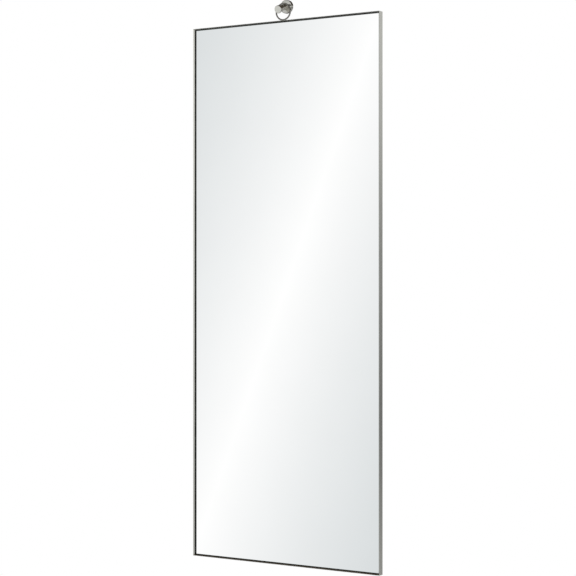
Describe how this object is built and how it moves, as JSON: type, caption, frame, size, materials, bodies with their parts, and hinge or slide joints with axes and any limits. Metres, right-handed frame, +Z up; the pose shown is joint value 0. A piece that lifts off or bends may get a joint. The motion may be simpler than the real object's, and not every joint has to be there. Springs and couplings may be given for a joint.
{
  "type": "wall mirror",
  "caption": "Tall rectangular wall mirror in a slim flat-bar nickel frame, hung by a welded wire ring on a round, sloping wall peg.",
  "frame": {"origin": "the centre of the hook's wall plate, on the wall", "axes": "+Z up along the mirror's height, +X to the right as the mirror is looked at, +Y into the wall, so the mirror faces -Y"},
  "size_m": [0.61, 0.0552, 1.5836],
  "materials": {
    "satin_nickel": "satin",
    "polished_nickel": "polished",
    "silvered_glass": "mirror",
    "hardboard": "matte",
    "plated_steel": "plated",
    "black_rubber": "matte",
    "foam_tape": "matte"
  },
  "bodies": {
    "wall_hook": {"hook_cap": "polished_nickel", "hook_flange": "polished_nickel", "hook_grub_screw": "plated_steel", "hook_peg": "polished_nickel", "hook_peg_screw": "plated_steel", "hook_wall_plate": "plated_steel"},
    "hanging_mirror": {"backing_board": "hardboard", "bumper_screws": "plated_steel", "foam_tape_1": "foam_tape", "foam_tape_2": "foam_tape", "foam_tape_3": "foam_tape", "frame_bottom_rail": "satin_nickel", "frame_left_stile": "satin_nickel", "frame_right_stile": "satin_nickel", "frame_top_rail": "satin_nickel", "hanging_ring": "polished_nickel", "mirror_glass": "silvered_glass", "retaining_tab_bottom_1": "plated_steel", "retaining_tab_bottom_2": "plated_steel", "retaining_tab_left_1": "plated_steel", "retaining_tab_left_2": "plated_steel", "retaining_tab_left_3": "plated_steel", "retaining_tab_right_1": "plated_steel", "retaining_tab_right_2": "plated_steel", "retaining_tab_right_3": "plated_steel", "retaining_tab_top_1": "plated_steel", "retaining_tab_top_2": "plated_steel", "ring_weld": "satin_nickel", "setting_block_left": "black_rubber", "setting_block_right": "black_rubber", "tab_screws": "plated_steel", "wall_bumper_left": "black_rubber", "wall_bumper_right": "black_rubber"}
  },
  "joints": [
    {"name": "mirror_swing", "type": "hinge", "parent": "wall_hook", "child": "hanging_mirror", "pos_m": [0, -0.023, -0.00465], "axis": [0, 1, 0], "range_deg": [-30, 30]}
  ]
}
